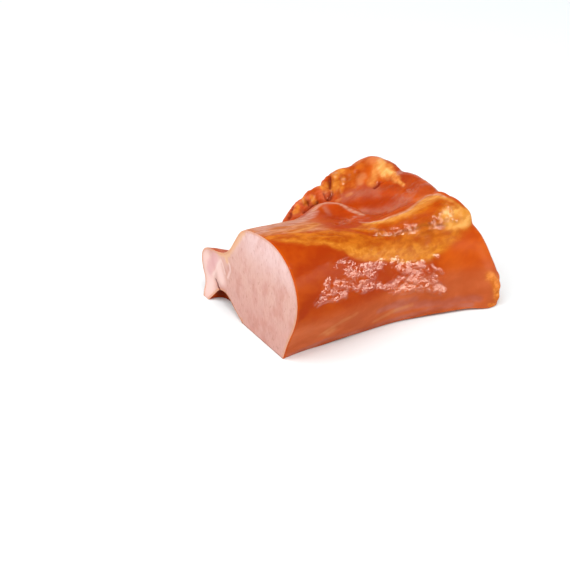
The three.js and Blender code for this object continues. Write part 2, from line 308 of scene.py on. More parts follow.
# Strokes of one tissue: the points along each, and its half width
strokePlan = {
    "rollRed": [
        ([(86, 10, 65), (90, 7, 64), (96, 6, 64), (102, 5, 65), (108, 4, 66), (118, 3, 67)], 3.2),
        ([(118, 3, 67), (125, 5, 70), (130, 7, 71)], 2.6),
        ([(138, 6, 71), (140, 3, 70)], 2.2),
        ([(50, 16, 72), (60, 14, 70), (70, 9, 67), (76, 6, 65)], 2.0),
        ([(84, 2, 62), (96, -1, 60), (108, -3, 59)], 1.8),
    ],
    "topOrange": [
        ([(21, 20, 78), (30, 22, 76), (38, 25, 74), (44, 28, 73)], 3.6),
        ([(40, 12, 75), (50, 14, 72)], 3.0),
    ],
    # Pale lavender along the top left edge: painted sheen, standing in for the grazing reflection of a white
    # backdrop
    "lavenderSheen": [
        ([(1, 30, 80), (8, 31, 79)], 2.4),
        ([(6, 36, 77), (18, 37, 76), (27, 35, 75), (35, 38, 72), (42, 40, 70), (52, 45, 67),
          (60, 52, 66)], 3.4),
    ],
    # The pale pink line along the fold's crest is a painted highlight; the second stroke is a pale line along
    # the roll's upper rim
    "crestSheenAndRim": [
        ([(60, 52, 66), (65, 55, 66), (70, 57, 66), (75, 56, 66), (82, 52, 65), (85, 43, 63),
          (89, 35, 62)], 1.5),
        ([(79, 25, 65), (83, 21, 65), (90, 16, 67), (100, 13, 69), (107, 12, 70), (113, 13, 70),
          (123, 18, 70), (131, 21, 70), (134, 20, 70), (136, 16, 71), (139, 10, 72)], 0.9),
    ],
    # Greyish pink haze over the valley: painted sheen, standing in for the reflection of the white
    # surroundings
    "valleySheen": [
        ([(104, 71, 56), (109, 70, 57), (112, 64, 57), (117, 60, 57)], 7.0),
        ([(117, 58, 57), (121, 44, 60), (119, 30, 63)], 6.0),
        ([(96, 40, 58), (104, 48, 55), (109, 46, 55), (114, 34, 60)], 6.0),
        ([(70, 51, 66), (69, 46, 64)], 2.4),
    ],
    "rearBrown": [
        ([(143, 74, 66), (139, 62, 67), (137, 50, 67), (136, 36, 69), (134, 27, 70)], 8.0),
        ([(125, 60, 60), (128, 55, 61), (130, 48, 63)], 3.5),
    ],
    "valleyRed": [
        ([(110, 54, 55), (114, 50, 56), (118, 48, 58), (122, 51, 59)], 6.5),
        ([(74, 51, 65), (75, 47, 63), (78, 44, 62), (82, 43, 63)], 4.0),
    ],
    "amber": [
        ([(116, 90, 63), (121, 88, 66), (124, 84, 68)], 6.0),
        ([(108, 82, 59), (114, 83, 62)], 7.0),
        ([(104, 78, 58), (110, 77, 58)], 4.0),
        ([(103, 86, 61), (101, 84, 57)], 6.0),
    ],
    "cragPale": [
        ([(94, 89, 56), (92, 84, 54)], 6.0),
        ([(80, 87, 50), (74, 90, 46), (68, 90, 43)], 6.0),
    ],
    "yellowLump": [
        ([(105, 92, 63), (109, 93, 63), (109, 89, 64)], 2.6),
        ([(103, 86, 61), (103, 83, 59), (101, 84, 57)], 2.4),
        ([(94, 90, 56), (94, 87, 55), (97, 89, 57)], 2.4),
        ([(79, 90, 51), (79, 88, 49)], 1.8),
        ([(70, 89, 44), (72, 88, 45)], 1.5),
        ([(83, 82, 50), (83, 86, 53)], 1.6),
        ([(106, 89, 64), (102, 86, 60), (100, 85, 56)], 2.4),
        ([(107, 83, 62), (102, 78, 57)], 1.8),
        ([(74, 90, 46), (71, 88, 45)], 1.2),
    ],
    "fatCore": [([(136, 77, 69), (133, 74, 66), (132, 69, 65)], 2.6), ([(134, 72, 66), (135, 66, 66)], 2.4)],
    "paleFat": [
        ([(137, 78, 70), (131, 76, 67)], 2.4),
        ([(131, 76, 67), (126, 72, 63), (122, 70, 60)], 3.0),
        ([(134, 73, 66), (133, 67, 65)], 4.2),
        ([(138, 72, 67), (136, 64, 66), (134, 57, 65)], 2.6),
        ([(134, 57, 65), (133, 48, 65)], 1.3),
    ],
    "softFat": [
        ([(132, -2, 65), (136, -3, 65), (142, -4, 64), (148, -4, 61)], 4.6),
        ([(131, -5, 60), (138, -6, 59), (145, -6, 59)], 3.4),
    ],
    "endFat": [
        ([(152, -26, 23), (156, -28, 19), (157, -30, 12), (157, -31, 5)], 3.4),
        ([(155, -31, 1), (150, -31, 2)], 1.5),
    ],
    # Patchy fat on the sides that the photograph doesn't show
    "hiddenFat": [
        ([(154, 38, 55), (158, 42, 45), (162, 46, 32), (165, 47, 20)], 7.0),
        ([(161, -24, 8), (162, -12, 5), (164, 6, 5)], 7.0),
        ([(160, 54, 38), (158, 66, 40), (155, 78, 46)], 6.0),
        ([(162, -16, 26), (160, -8, 36)], 6.0),
        ([(80, 103, 26), (100, 104, 22), (118, 106, 26)], 9.0),
        ([(124, 102, 46), (140, 97, 54)], 7.0),
    ],
    "threads": [
        ([(24, -9, 12), (32, -10, 18), (39, -13, 22), (49, -14, 24)], 1.7),
        ([(68, -9, 8), (80, -11, 12), (96, -13, 13)], 1.5),
        ([(31, -9, 13), (33, -10, 15)], 2.6),
        ([(116, 75, 60), (118, 78, 61), (120, 77, 63)], 2.4),
        ([(131, 83, 70), (137, 80, 71)], 4.0),
        ([(97, 75, 51), (98, 74, 52)], 1.8),
        ([(103, 72, 55), (105, 71, 56)], 1.6),
    ],
    # Pink and lavender streaks low on the front: painted sheen, standing in for the reflection of the white
    # board
    "lowSheenStreaks": [
        ([(70, -12, 17), (76, -12, 18), (85, -12, 18), (93, -13, 17), (99, -13, 17)], 2.6),
        ([(85, -11, 13), (102, -14, 12), (118, -18, 9), (133, -23, 9), (143, -26, 8)], 3.0),
        ([(5, -1, 1), (20, -2, 2), (30, -5, 5), (43, -6, 4), (60, -6, 2), (76, -8, 3), (92, -11, 3),
          (107, -15, 4), (123, -20, 5), (138, -25, 3)], 2.0),
    ],
    "wet": [
        ([(36, -8, 63), (39, -6, 64), (45, -6, 63), (49, -6, 61)], 1.3),
        ([(44, -9, 56), (49, -8, 56), (55, -8, 53), (61, -8, 52), (68, -7, 50), (74, -7, 50)], 2.2),
        ([(47, -11, 52), (50, -10, 52), (55, -9, 52), (61, -9, 50)], 2.4),
        ([(61, -10, 48), (63, -10, 46), (66, -10, 45)], 1.6),
        ([(85, -6, 48), (88, -7, 45), (93, -8, 41), (98, -9, 40), (104, -9, 39)], 2.6),
        ([(108, -10, 37), (110, -12, 34)], 0.9),
        ([(113, -11, 37), (115, -12, 34)], 0.9),
        ([(118, -13, 33), (120, -15, 31)], 0.9),
        ([(115, -10, 43), (118, -11, 42)], 0.9),
        ([(64, 26, 68), (73, 33, 64), (78, 36, 62), (81, 35, 62)], 1.4),
        ([(79, 8, 66)], 3.2),
        ([(85, 6, 64), (92, 4, 62), (100, 4, 63), (107, 2, 62)], 2.0),
        ([(121, -1, 61), (125, -2, 62), (130, -2, 65), (134, 2, 70)], 2.8),
        ([(121, 0, 65), (126, 1, 67), (129, 1, 68)], 2.2),
        ([(98, 38, 59), (105, 34, 60), (112, 31, 61)], 1.3),
        ([(139, 62, 67), (137, 59, 67)], 1.2),
        ([(131, 40, 65), (130, 33, 68)], 1.4),
        ([(129, 54, 61), (125, 58, 60)], 1.4),
        ([(133, 70, 66)], 1.8),
        ([(104, 89, 64), (106, 86, 63)], 1.4),
        ([(94, 89, 57), (92, 84, 54), (97, 83, 54)], 1.3),
        ([(81, 88, 52), (78, 89, 49)], 1.2),
    ],
    # Wet patches that stand as small ledges and so face up
    "wetLedge": [
        ([(17, -17, 47), (21, -17, 48), (26, -16, 48), (29, -16, 45), (38, -15, 44)], 2.4),
        ([(23, -16, 52), (24, -15, 54), (26, -14, 56), (27, -13, 57)], 1.6),
        ([(23, -16, 52), (28, -15, 49), (35, -15, 47)], 2.0),
        ([(33, -13, 53), (39, -13, 50), (45, -13, 47), (49, -13, 44), (55, -13, 41), (62, -12, 40)], 2.0),
        ([(54, -12, 45), (59, -12, 42), (61, -12, 41)], 1.8),
        ([(68, -12, 38), (72, -12, 36), (78, -12, 34)], 2.0),
        ([(90, -7, 43), (96, -9, 38), (102, -11, 33), (105, -13, 28), (110, -14, 23), (115, -16, 20),
          (119, -17, 19)], 2.8),
        ([(78, -12, 33), (82, -12, 30), (83, -11, 34), (87, -11, 35)], 2.6),
        ([(88, -12, 29), (93, -12, 28), (97, -12, 28), (96, -11, 32), (99, -12, 30), (103, -13, 26)], 3.2),
        ([(112, -14, 28), (114, -15, 25), (116, -16, 22)], 2.0),
        ([(113, -13, 31), (115, -14, 29)], 0.9),
    ],
    "cutFat": [
        ([(0, 76, 42), (0, 67, 45), (0, 64, 47)], 2.4),
        ([(0, 67, 44), (0, 66, 40)], 1.8),
        ([(0, 64, 49), (0, 57, 57), (0, 52, 64), (0, 48, 70), (0, 45, 73)], 2.6),
    ],
    # Dark brown along the cut's bottom edge: the skin's edge, with painted contact shadow
    "cutBaseRimAndShadow": [([(0, -2, 0), (0, 50, 0), (0, 57, 5.5), (0, 63, 10.5), (0, 69, 13.5)], 0.7)],
    "flapPale": [([(0, 92, 28), (0, 89, 18), (0, 88, 6)], 7.0), ([(0, 78, 32), (0, 74, 22)], 5.0)],
    "flapMeat": [([(0, 81, 35), (0, 83, 31), (0, 88, 25), (0, 89, 21)], 4.0)],
    "gapShade": [([(6, 70, 5), (14, 76, 6), (20, 82, 5)], 8.0), ([(3, 80, 9), (6, 84, 4)], 4.0)],
    "seam": [
        ([(0, 74, 37), (0, 78, 31), (0, 80, 26), (0, 85, 19)], 0.9),
        ([(0, 67.5, 41), (0, 62.5, 39), (0, 62, 34.6), (0, 65.6, 27)], 0.8),
        ([(0, 73, 37), (0, 70.5, 32.5), (0, 68.7, 28.6)], 0.7),
    ],
    # The slit between flap and eye: sunk by the relief and painted dark as the shade inside it
    "slit": [([(0, 81.8, 16.7), (0, 79.9, 14.8), (0, 79.3, 12.2), (0, 76.7, 11.6)], 0.9)],
}
# Creases: the points along each, its width, its depth and how dark it is painted, as shade in the crease
creasePlan = [
    ([(74, 7, 66), (79, 5, 64), (85, 4, 63), (93, 3, 61), (101, 3, 61), (109, 2, 61)], 2.6, 1.1, 0.35),
    ([(109, 2, 61), (113, 1, 62), (120, -1, 61), (127, -4, 60), (130, -5, 59.5)], 2.6, 0.8, 0.4),
    ([(90, 18, 66), (100, 15.5, 68), (107, 14.5, 69), (113, 15.5, 69.5), (121, 19, 70)], 1.6, 0.5, 0.5),
    ([(102, 92, 61), (100, 90, 60), (99, 88, 58), (98, 86, 56)], 2.2, 2.6, 1.0),
    ([(98, 84, 54), (97, 82, 53), (94, 80, 51), (91, 79, 52)], 2.2, 2.0, 0.8),
    ([(69, 91, 45), (72, 93, 45)], 2.0, 1.6, 1.0),
    ([(65, 90, 40), (66, 89, 42), (67, 90, 43)], 3.2, 1.2, 1.0),
    ([(75, 85, 44), (77, 84, 45), (83, 81, 50), (84, 82, 51)], 2.2, 2.0, 1.0),
    ([(80, 87, 50), (79, 85, 48), (78, 84, 47)], 1.8, 1.4, 0.7),
    ([(92, 85, 54), (91, 82, 54), (90, 79, 53)], 2.0, 1.5, 0.7),
    ([(121, 65, 59), (124, 65, 60), (126, 66, 61)], 2.4, 1.5, 1.0),
    ([(126, 65, 61), (130, 64, 62), (133, 58, 63), (134, 51, 64)], 1.8, 1.0, 0.5),
    ([(60, 24, 70), (66, 26, 67), (73, 29, 64), (79, 36, 61)], 3.0, 1.4, 0.4),
    ([(8, 31, 78), (12, 32, 78), (16, 31, 77), (21, 30, 77), (26, 29, 76)], 1.5, 0.6, 0.45),
    ([(12, 23, 79), (16, 22, 79), (22, 22, 78), (26, 21, 78), (30, 21, 77)], 1.4, 0.5, 0.4),
    ([(30, 11, 77), (36, 11, 76), (42, 9, 75), (51, 9, 72)], 1.4, 0.4, 0.35),
    ([(48, 17, 73), (56, 16, 71), (64, 13, 70), (71, 9, 67)], 1.4, 0.4, 0.3),
]
# Beads of juice along the roll: middle, radius and height
beadPlan = [
    ((79, 8, 66), 3.0, 1.3), ((85, 6, 64), 2.0, 0.8), ((88.5, 5, 63), 2.0, 0.8), ((92, 4, 62), 2.2, 0.9),
    ((95.5, 4, 62), 1.9, 0.7), ((100, 4, 63), 2.0, 0.7), ((103, 3, 61), 1.8, 0.6), ((107, 2, 62), 1.8, 0.6),
    ((121, -1, 61), 1.7, 0.7), ((125, -2, 62), 1.7, 0.7), ((130, -2, 64.5), 2.2, 0.9),
    ((134, 2, 70), 1.8, 0.6), ((126, 1, 67), 1.6, 0.6), ((121, 0, 65), 1.6, 0.6),
    ((129, 1, 68), 1.6, 0.6), ((134, -4, 62), 1.8, 0.6),
    ((124, 0, 64), 1.6, 0.6), ((135, -2, 67), 1.8, 0.7), ((137, -5, 61), 1.6, 0.6), ((119, 0, 63), 1.6, 0.5),
]
# Soft lumps of the rear muscle and the rear of the roll: middle, radius and height
lumpPlan = [
    ((105, 86, 62), 7.0, 1.5), ((93, 88, 56), 6.0, 1.4), ((81, 87, 52), 6.0, 1.4), ((72, 90, 46), 6.0, 1.6),
    ((113, 91, 66), 9.0, 2.4), ((97, 93, 60), 7.0, 1.8), ((120, 84, 66), 6.0, 0.9), ((99, 72, 53), 3.5, 0.8),
    ((107, 73, 56), 3.5, 0.8), ((143, 72, 67), 9.0, 1.8), ((138, 28, 70), 8.0, 1.6),
    ((148, -4, 60), 8.0, 1.8), ((154, -27, 22), 4.0, 0.8), ((157, -29, 15), 4.5, 1.1),
    ((157, -31, 6), 4.0, 1.0), ((162, -25, 20), 4.0, 0.7), ((106, 89, 64), 3.4, 0.9),
    ((101, 85, 57), 3.0, 0.9), ((102, 78, 57), 3.0, 0.8), ((97, 75, 51), 2.6, 0.8),
    ((83, 84, 51), 3.0, 0.9), ((78, 88, 49), 3.0, 0.8), ((91, 86, 55), 3.0, 0.9), ((107, 83, 62), 3.2, 0.8),
    ((91, 91, 57), 6.0, 2.4), ((75, 94, 47), 6.0, 2.4), ((140, 17, 71), 7.0, 2.0),
]
# How far the edge of the resting face turns up, along x
hemPlan = {
    "reach": 10.0,
    "rises": [(4, 0.0), (30, 0.3), (40, 1.2), (52, 1.3), (62, 0.6), (80, 0.6), (98, 1.2), (112, 1.9),
              (138, 1.9), (147, 0.7), (168, 1.0)],
}
# Wide zones: the two places between which each comes in or fades out
zonePlan = {
    "topSkinEdge": (-3.0, 5.0),  # degrees past the fat cap
    "topSkinEnd": (34.0, 58.0),  # x over which the wrinkled top fades out
    "topSkinFoot": (44.0, 75.0),  # z
    # Bounds of the lower front, where a painted reflection of the white board makes the skin paler and pinker
    "lowFrontTop": (18.0, 42.0),  # z
    "lowFrontBack": (-4.0, 6.0),  # y
    "farLean": (100.0, 138.0),  # x over which the lean turns to a lighter orange
    "moistStart": (55.0, 80.0),  # x
    "moistFront": (10.0, 30.0),  # y
    "cragMiddle": (88, 90, 46),
    "crag": (15.0, 30.0),  # from that middle
    "rim": (0.72, 2.4),  # from the cut face's edge
    "free": (0.3, 3.0),  # from the cut plane and the board, which the relief leaves as they are
}
# How far the strokes, beads and ledges reach and rise
reachPlan = {
    "stroke": 2.0,  # in half widths
    "wetStroke": 2.7,
    "bead": (0.5, 1.0),  # in radii
    "beadWet": 1.8,  # beads are wet all over, so noise leaves no dry spot on them
    "beadPower": 0.5,  # a low power makes a steep dome, a high one a soft lump
    "lumpPower": 1.5,
    "crinkle": 5.0,  # how far past the wet patches the skin is crinkled
    "fat": (0.5, 1.3),  # in half widths
    "fatRise": 0.7,  # how far the pale fat stands out
    "ledge": (0.7, 1.8),  # in half widths
    "ledgeTilt": 0.24,  # how steeply a ledge is tipped up
}


def store(mesh, name, values):
    layer = mesh.attributes.new(name, "FLOAT", "POINT")
    layer.data.foreach_set("value", np.asarray(values, dtype=np.float32))


def loinPlaces(mesh):
    places = np.zeros(len(mesh.vertices) * 3, np.float32)
    mesh.vertices.foreach_get("co", places)
    return toLoin(places.reshape(-1, 3).astype(float))


def rimDistance(mesh, place, kind):  # from the edge between the skin and the faces of another kind
    kinds = np.zeros(len(mesh.polygons), np.int32)
    sides = np.zeros(len(mesh.polygons), np.int32)
    corners = np.zeros(len(mesh.loops), np.int32)
    mesh.polygons.foreach_get("material_index", kinds)
    mesh.polygons.foreach_get("loop_total", sides)
    mesh.loops.foreach_get("vertex_index", corners)
    cornerKinds = np.repeat(kinds, sides)
    rim = np.intersect1d(corners[cornerKinds == kind], corners[cornerKinds == skinKind])
    finder = KDTree(len(rim))
    for i, vertex in enumerate(rim):
        finder.insert(place[vertex], i)
    finder.balance()
    return np.array([finder.find(point)[2] for point in place])


def markZones(mesh, place):
    x, y, z = place.T
    angle = np.degrees(np.arctan2(z - capPlan["middle"][1], y - capPlan["middle"][0]))
    angle = np.where(angle < -90, angle + 360, angle)
    low, seam, high, soft = (alongX(x, capPlan[edge]) for edge in ("low", "seam", "high", "soft"))
    cap = smooth(low - angle, -soft, soft) * smooth(angle - high, -soft, soft) * fade(x, *capPlan["end"])
    lowerShare = np.clip((low - angle) / np.maximum(low - seam, 1.0), 0, 1)
    upperShare = np.clip((seam - angle) / np.maximum(seam - high, 1.0), 0, 1)
    bright = fade(lowerShare, *capPlan["brightShare"]) * alongX(x, capPlan["brightAlong"])
    light = smooth(upperShare, *capPlan["rollShare"]) * smooth(x, *capPlan["rollStart"])
    top = smooth(high - angle, *zonePlan["topSkinEdge"]) * fade(x, *zonePlan["topSkinEnd"])
    store(mesh, "cap", cap)
    store(mesh, "capBright", cap * bright)
    store(mesh, "rollLight", cap * light)
    store(mesh, "topSkin", top * smooth(z, *zonePlan["topSkinFoot"]))
    # Lower front: where the painted reflection of the board lies
    store(mesh, "lowFrontSheen", fade(z, *zonePlan["lowFrontTop"]) * fade(y, *zonePlan["lowFrontBack"]))
    store(mesh, "farLean", smooth(x, *zonePlan["farLean"]))
    store(mesh, "moist", smooth(x, *zonePlan["moistStart"]) * smooth(y, *zonePlan["moistFront"]))
    store(mesh, "crag", fade(np.linalg.norm(place - zonePlan["cragMiddle"], axis=1), *zonePlan["crag"]))
    store(mesh, "free", smooth(x, *zonePlan["free"]) * smooth(z, *zonePlan["free"]))
    store(mesh, "rim", fade(rimDistance(mesh, place, cutKind), *zonePlan["rim"]))


def markStrokes(mesh, place):
    masks = {}
    for name, strokes in strokePlan.items():
        masks[name] = np.zeros(len(place))
        reach = reachPlan["wetStroke"] if name.startswith("wet") else reachPlan["stroke"]
        for path, radius in strokes:
            masks[name] = np.maximum(masks[name], fade(pathDistance(place, path), 0.0, radius * reach))
    masks["wet"] = np.maximum(masks["wet"], masks.pop("wetLedge"))
    for middle, radius, _ in beadPlan:
        off = np.linalg.norm(place - middle, axis=1) / radius
        masks["wet"] = np.maximum(masks["wet"], reachPlan["beadWet"] * fade(off, *reachPlan["bead"]))
    for name, mask in masks.items():
        store(mesh, name, mask)
    crinkle = np.zeros(len(place))
    for path, radius in strokePlan["wet"] + strokePlan["wetLedge"]:
        away = pathDistance(place, path)
        crinkle = np.maximum(crinkle, fade(away, radius, radius + reachPlan["crinkle"]))
    store(mesh, "crinkle", crinkle)


def markRelief(mesh, place):
    x, _, z = place.T
    ledge, held, dark, sink, rise = (np.zeros(len(place)) for _ in range(5))
    full, end = reachPlan["ledge"]
    for path, radius in strokePlan["wetLedge"]:
        away, spot = nearestOnPath(place, path)
        near = fade(away, radius * full, radius * end)
        ledge += near * (spot[:, 2] - z) * reachPlan["ledgeTilt"]
        held += near
    ledge /= np.maximum(held, 1.0)
    # Each crease is sunk into the relief and painted darker: painted shade in the crease
    for path, width, depth, paintedShade in creasePlan:
        dip = np.exp(-(pathDistance(place, path) / (width / 2)) ** 2)
        sink = np.maximum(sink, dip * depth)
        dark = np.maximum(dark, dip * paintedShade)
    full, end = reachPlan["fat"]
    for path, radius in strokePlan["paleFat"]:
        near = fade(pathDistance(place, path), radius * full, radius * end)
        rise = np.maximum(rise, near * reachPlan["fatRise"])
    for bumps, power in ((beadPlan, reachPlan["beadPower"]), (lumpPlan, reachPlan["lumpPower"])):
        for middle, radius, height in bumps:
            off = np.linalg.norm(place - middle, axis=1) / radius
            rise = np.maximum(rise, height * np.clip(1 - off * off, 0, 1) ** power)
    hem = np.clip(1 - rimDistance(mesh, place, baseKind) / hemPlan["reach"], 0, 1)
    store(mesh, "crease", dark)
    store(mesh, "push", rise - sink + ledge)
    store(mesh, "hem", hem * (2 - hem) * alongX(x, hemPlan["rises"]))


finePlaces = loinPlaces(fineMesh)
markZones(fineMesh, finePlaces)
markStrokes(fineMesh, finePlaces)
markRelief(fineMesh, finePlaces)
print("tissues marked, with", len(creasePlan), "creases and", len(beadPlan), "beads")


# Materials
skinPlan = {
    "lean": ("#a43404", "#b54607"),
    "patterns": {
        # size in mm, its share along the grain
        "smoke": (16.0, 0.7),
        "blotch": (5.0, 0.6),
        "mottle": (3.0, 0.7),
        "streak": (2.2, 0.2),
        "ripple": (1.7, 0.6),
        "fine": (1.3, 0.5),
    },
    "dullness": (0.34, 0.54),  # roughness under the glaze
    "rippleShare": 0.6,  # of what breaks up the wet patches; mottle is the rest
    "wetSwing": (13.0, -5.5),  # gain and shift of that pattern
    "wetEdge": (0.3, 0.65),  # where a patch starts and where it is all wet
    "dropShare": 0.5,  # how wet the mottle of the moist bowl is
    "glaze": (0.03, 1.0),  # on dry and on wet skin
    "rippleDepth": 6.0,  # on wet skin, against the fine grain
    "grainDepth": (0.7, 0.8),  # on dry and on moist skin
    "layers": [
        # mask, darker colour, lighter colour, pattern between them, raggedness and softness of its edge,
        # strength
        ("farLean", "#bc4607", "#cf5a0b", "smoke", 0.8, 0.5, 0.9),
        # Painted reflection: the lower front made paler and pinker, as if it mirrored the white board
        ("lowFrontSheen", "#b5552a", "#c76539", "smoke", 0.8, 0.5, 0.85),
        # Painted sheen: pink streaks low on the front
        ("lowSheenStreaks", "#a04c3a", "#b67064", "smoke", 2.2, 0.5, 0.55),
        ("hiddenFat", "#b5520f", "#d0792c", "blotch", 3.2, 0.45, 0.6),
        ("rim", "#b34104", "#c05109", "smoke", 0.4, 0.4, 0.8),
        ("topSkin", "#b06637", "#ca8660", "streak", 0.9, 0.5, 0.9),
        ("topOrange", "#b35c1a", "#cd823a", "streak", 1.6, 0.5, 0.75),
        # Painted sheen: pale lavender along the top left edge
        ("lavenderSheen", "#b0705c", "#c59688", "streak", 1.8, 0.4, 0.75),
        ("cap", "#ab4d0a", "#c66c17", "blotch", 1.9, 0.42, 1.0),
        ("capBright", "#c46e1b", "#dd9030", "mottle", 1.8, 0.5, 0.8),
        ("rollRed", "#a83c06", "#ba4f0e", "streak", 2.0, 0.45, 0.85),
        ("rollLight", "#c77b2e", "#db994c", "streak", 1.2, 0.45, 0.9),
        ("softFat", "#d68c36", "#eaaa58", "blotch", 1.0, 0.5, 0.95),
        ("endFat", "#c4651a", "#e69140", "mottle", 2.8, 0.45, 0.9),
        ("rearBrown", "#983412", "#a9441c", "smoke", 1.6, 0.5, 0.8),
        # Painted sheen: greyish pink haze over the valley
        ("valleySheen", "#a35540", "#b2705c", "smoke", 2.4, 0.5, 0.6),
        ("valleyRed", "#a43404", "#b64008", "smoke", 1.6, 0.5, 0.9),
        ("amber", "#ab460c", "#c46018", "blotch", 2.0, 0.45, 0.85),
        ("cragPale", "#b64a24", "#d06a40", "blotch", 2.0, 0.5, 0.85),
        ("yellowLump", "#cc7422", "#e0943c", "blotch", 1.8, 0.5, 0.8),
        ("paleFat", "#ca7632", "#dd8e46", "blotch", 1.0, 0.5, 0.95),
        ("fatCore", "#e2a052", "#f1ba74", "blotch", 1.0, 0.5, 0.95),
        # Painted highlight along the fold's crest, and a pale line along the roll's upper rim
        ("crestSheenAndRim", "#b97a5e", "#cf9d84", "streak", 2.6, 0.5, 0.7),
        ("threads", "#c06c3c", "#cf8450", "smoke", 1.6, 0.5, 0.6),
        ("gapShade", "#4c1005", "#681b0b", "blotch", 0.8, 0.5, 0.9),
        # Painted shade: dark red laid into the creases and crevices
        ("crease", "#6c180a", "#862a14", "mottle", 1.0, 0.5, 0.85),
    ],
}


def makeSkin(plan):
    # Smoked pork skin: a thin moist glaze over cured lean and fat, so it is deep orange,
    # a little see-through and wet
    material, tree = newMaterial("smoked_glazed_pork")
    place = addNode(tree, "ShaderNodeTexCoord").outputs["Object"]
    patterns = {}
    for name, (size, grainShare) in plan["patterns"].items():
        along = addNode(tree, "ShaderNodeMapping", {}, {"Vector": place, "Scale": (grainShare, 1.0, 1.0)})
        patterns[name] = addNode(tree, "ShaderNodeTexNoise", {}, {
            "Vector": along.outputs[0], "Scale": mmPerMetre / size, "Detail": 3.0, "Roughness": 0.55,
            "Distortion": 0.3}).outputs[0]
    tones = {name: addNode(tree, "ShaderNodeMapRange", {"interpolation_type": "SMOOTHSTEP"}, {
        "Value": patterns[name], "From Min": 0.35, "From Max": 0.68}).outputs[0]
        for name in ("smoke", "blotch", "mottle", "streak")}
    colour = addNode(tree, "ShaderNodeMix", {"data_type": "RGBA"}, {
        0: tones["smoke"], 6: linear(plan["lean"][0]), 7: linear(plan["lean"][1])}).outputs[2]
    # Each tissue is laid over the last, and noise pushes its edge in and out
    for mask, dark, light, pattern, ragged, soft, strength in plan["layers"]:
        held = addNode(tree, "ShaderNodeAttribute", {"attribute_name": mask}).outputs["Fac"]
        swing = addNode(tree, "ShaderNodeMath", {"operation": "MULTIPLY_ADD"}, {
            0: patterns["blotch"], 1: ragged, 2: 1.0 - ragged * 0.5}).outputs[0]
        push = addNode(tree, "ShaderNodeMath", {"operation": "MULTIPLY"}, {0: held, 1: swing}).outputs[0]
        share = addNode(tree, "ShaderNodeMapRange", {"interpolation_type": "SMOOTHSTEP"}, {
            "Value": push, "From Min": 0.5 - soft, "From Max": 0.5 + soft, "To Max": strength}).outputs[0]
        tissue = addNode(tree, "ShaderNodeMix", {"data_type": "RGBA"}, {
            0: tones[pattern], 6: linear(dark), 7: linear(light)}).outputs[2]
        colour = addNode(tree, "ShaderNodeMix", {"data_type": "RGBA"}, {
            0: share, 6: colour, 7: tissue}).outputs[2]
    # Wet patches: fully glazed, finely rippled and broken up; the rest of the skin is duller
    wet = addNode(tree, "ShaderNodeAttribute", {"attribute_name": "wet"}).outputs["Fac"]
    broken = addNode(tree, "ShaderNodeMix", {}, {
        0: plan["rippleShare"], 2: patterns["mottle"], 3: patterns["ripple"]}).outputs[0]
    wetSwing = addNode(tree, "ShaderNodeMath", {"operation": "MULTIPLY_ADD"}, {
        0: broken, 1: plan["wetSwing"][0], 2: plan["wetSwing"][1]}).outputs[0]
    wetPush = addNode(tree, "ShaderNodeMath", {"operation": "MULTIPLY"}, {0: wet, 1: wetSwing}).outputs[0]
    wetShare = addNode(tree, "ShaderNodeMapRange", {"interpolation_type": "SMOOTHSTEP"}, {
        "Value": wetPush, "From Min": plan["wetEdge"][0], "From Max": plan["wetEdge"][1]}).outputs[0]
    moist = addNode(tree, "ShaderNodeAttribute", {"attribute_name": "moist"}).outputs["Fac"]
    drops = addNode(tree, "ShaderNodeMath", {"operation": "MULTIPLY"}, {
        0: moist, 1: tones["mottle"]}).outputs[0]
    wettest = addNode(tree, "ShaderNodeMath", {"operation": "MULTIPLY_ADD", "use_clamp": True}, {
        0: drops, 1: plan["dropShare"], 2: wetShare}).outputs[0]
    glaze = addNode(tree, "ShaderNodeMapRange", {}, {
        "Value": wettest, "To Min": plan["glaze"][0], "To Max": plan["glaze"][1]}).outputs[0]
    dullness = addNode(tree, "ShaderNodeMapRange", {}, {
        "Value": patterns["mottle"], "To Min": plan["dullness"][0], "To Max": plan["dullness"][1]}).outputs[0]
    rippled = addNode(tree, "ShaderNodeMath", {"operation": "MULTIPLY"}, {
        0: patterns["ripple"], 1: wet}).outputs[0]
    deep = addNode(tree, "ShaderNodeMath", {"operation": "MULTIPLY"}, {
        0: rippled, 1: plan["rippleDepth"]}).outputs[0]
    grainy = addNode(tree, "ShaderNodeMapRange", {}, {
        "Value": moist, "To Min": plan["grainDepth"][0], "To Max": plan["grainDepth"][1]}).outputs[0]
    height = addNode(tree, "ShaderNodeMath", {"operation": "MULTIPLY_ADD"}, {
        0: patterns["fine"], 1: grainy, 2: deep}).outputs[0]
    bump = addNode(tree, "ShaderNodeBump", {}, {
        "Strength": 0.4, "Distance": 0.00025, "Height": height}).outputs[0]
    shader = addNode(tree, "ShaderNodeBsdfPrincipled", {"subsurface_method": "RANDOM_WALK"}, {
        "Base Color": colour, "Roughness": dullness, "Normal": bump, "IOR": 1.4, "Specular IOR Level": 0.03,
        "Subsurface Weight": 0.25, "Subsurface Radius": (1.0, 0.35, 0.15), "Subsurface Scale": 0.003,
        "Coat Weight": glaze, "Coat Roughness": 0.06, "Coat IOR": 1.5, "Coat Normal": bump})
    addNode(tree, "ShaderNodeOutputMaterial", {}, {"Surface": shader.outputs[0]})
    return material


